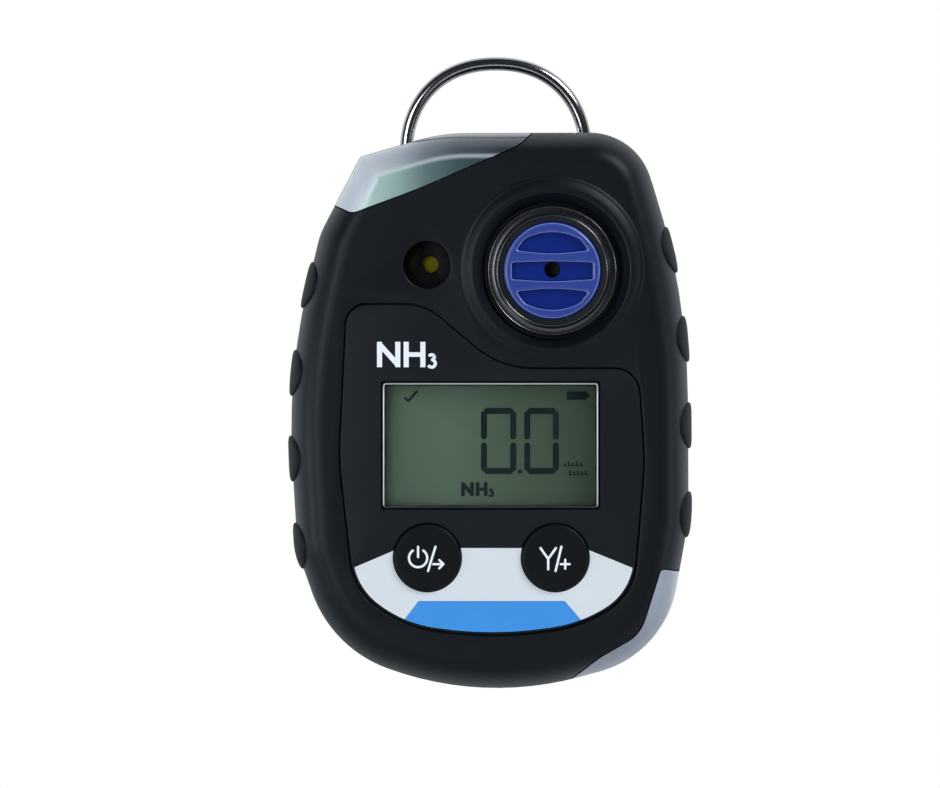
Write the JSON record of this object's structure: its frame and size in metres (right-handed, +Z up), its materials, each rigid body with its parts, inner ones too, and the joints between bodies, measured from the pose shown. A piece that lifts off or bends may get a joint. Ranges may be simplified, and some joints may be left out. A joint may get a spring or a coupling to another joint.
{
  "type": "portable gas detector",
  "caption": "Palm-sized clip-on gas detector with a display, two push buttons, a round sensor inlet, alarm-light corners, a wire bail and a sprung belt clip.",
  "frame": {"origin": "middle of the case in width and height, on the gripping face of the clip plate behind it", "axes": "+X right as the front is read, +Y out of the back, +Z up; the front faces -Y"},
  "size_m": [0.0631, 0.0329, 0.0988],
  "materials": {
    "case": "soft-touch moulded plastic, fine texture",
    "grip": "matte moulded rubber",
    "panel": "fine satin",
    "lens": "clear polycarbonate, frosted inside",
    "white_film": "printed film, satin",
    "blue_film": "printed film, satin",
    "window": "clear hard-coated acrylic",
    "lcd": "reflective liquid crystal",
    "backlight": "milky light guide",
    "button": "satin",
    "inlet": "satin moulded plastic",
    "ring": "polished",
    "filter": "porous membrane",
    "steel": "satin spring steel",
    "chrome": "polished",
    "brass": "plain",
    "board": "solder mask",
    "chip": "moulded epoxy",
    "inner": "plain moulded",
    "sensor_body": "plain moulded",
    "led": "clear epoxy",
    "cell": "shrink sleeve",
    "seal": "silicone",
    "rating": "blank label"
  },
  "bodies": {
    "case": {"alarm_led_1": "led", "alarm_led_2": "led", "alarm_led_3": "led", "alarm_lens_bottom": "lens", "alarm_lens_top": "lens", "backlight": "backlight", "battery_cell": "cell", "battery_cradle": "inner", "board_screw_1": "steel", "board_screw_2": "steel", "clip_pin": "steel", "clip_plate": "steel", "clip_screw_lower": "steel", "clip_screw_upper": "steel", "clip_spring": "steel", "contact_positive": "brass", "contact_spring": "steel", "display_bezel": "white_film", "display_window": "window", "dust_filter": "filter", "faceplate": "panel", "front_housing": "case", "gas_sensor": "sensor_body", "grip_left": "grip", "grip_right": "grip", "housing_screw_1": "steel", "housing_screw_2": "steel", "housing_screw_3": "steel", "housing_screw_4": "steel", "housing_seal": "seal", "inlet_grille": "inlet", "inlet_ring": "ring", "keypad_label": "white_film", "lcd_glass": "lcd", "lcd_holder": "inner", "lcd_strip_lower": "seal", "lcd_strip_upper": "seal", "main_board": "board", "menu_switch": "chip", "motor_clamp": "inner", "name_strip": "blue_film", "power_switch": "chip", "processor_chip": "chip", "rating_label": "rating", "rear_housing": "case", "sensor_board": "board", "sensor_seal": "seal", "sensor_socket": "chip", "sounder_case": "chip", "sounder_disc": "brass", "vibration_motor": "steel"},
    "power_button": {"power_button": "button", "power_switch_stem": "sensor_body"},
    "menu_button": {"menu_button": "button", "menu_switch_stem": "sensor_body"},
    "bail": {"bail": "chrome"},
    "jaw": {"clip_jaw": "steel"},
    "weight": {"motor_shaft": "steel", "eccentric_weight": "brass"}
  },
  "joints": [
    {"name": "power_button_press", "type": "slide", "parent": "case", "child": "power_button", "axis": [0, 1, 0], "range_m": [0, 0.0005], "stiffness_N_per_m": 800},
    {"name": "menu_button_press", "type": "slide", "parent": "case", "child": "menu_button", "axis": [0, 1, 0], "range_m": [0, 0.0005], "stiffness_N_per_m": 800},
    {"name": "bail_swing", "type": "hinge", "parent": "case", "child": "bail", "pos_m": [0.00095, 0.0009, 0.035], "axis": [1, 0, 0], "range_deg": [-140, 0]},
    {"name": "clip_jaw_open", "type": "hinge", "parent": "case", "child": "jaw", "pos_m": [0, 0.0034, 0.015], "axis": [1, 0, 0], "range_deg": [0, 25], "stiffness_Nm_per_rad": 0.1, "springref_deg": -17.19, "deforming": ["clip_spring"]},
    {"name": "weight_spin", "type": "hinge", "parent": "case", "child": "weight", "pos_m": [-0.016, -0.013, 0], "axis": [1, 0, 0], "continuous": true}
  ]
}
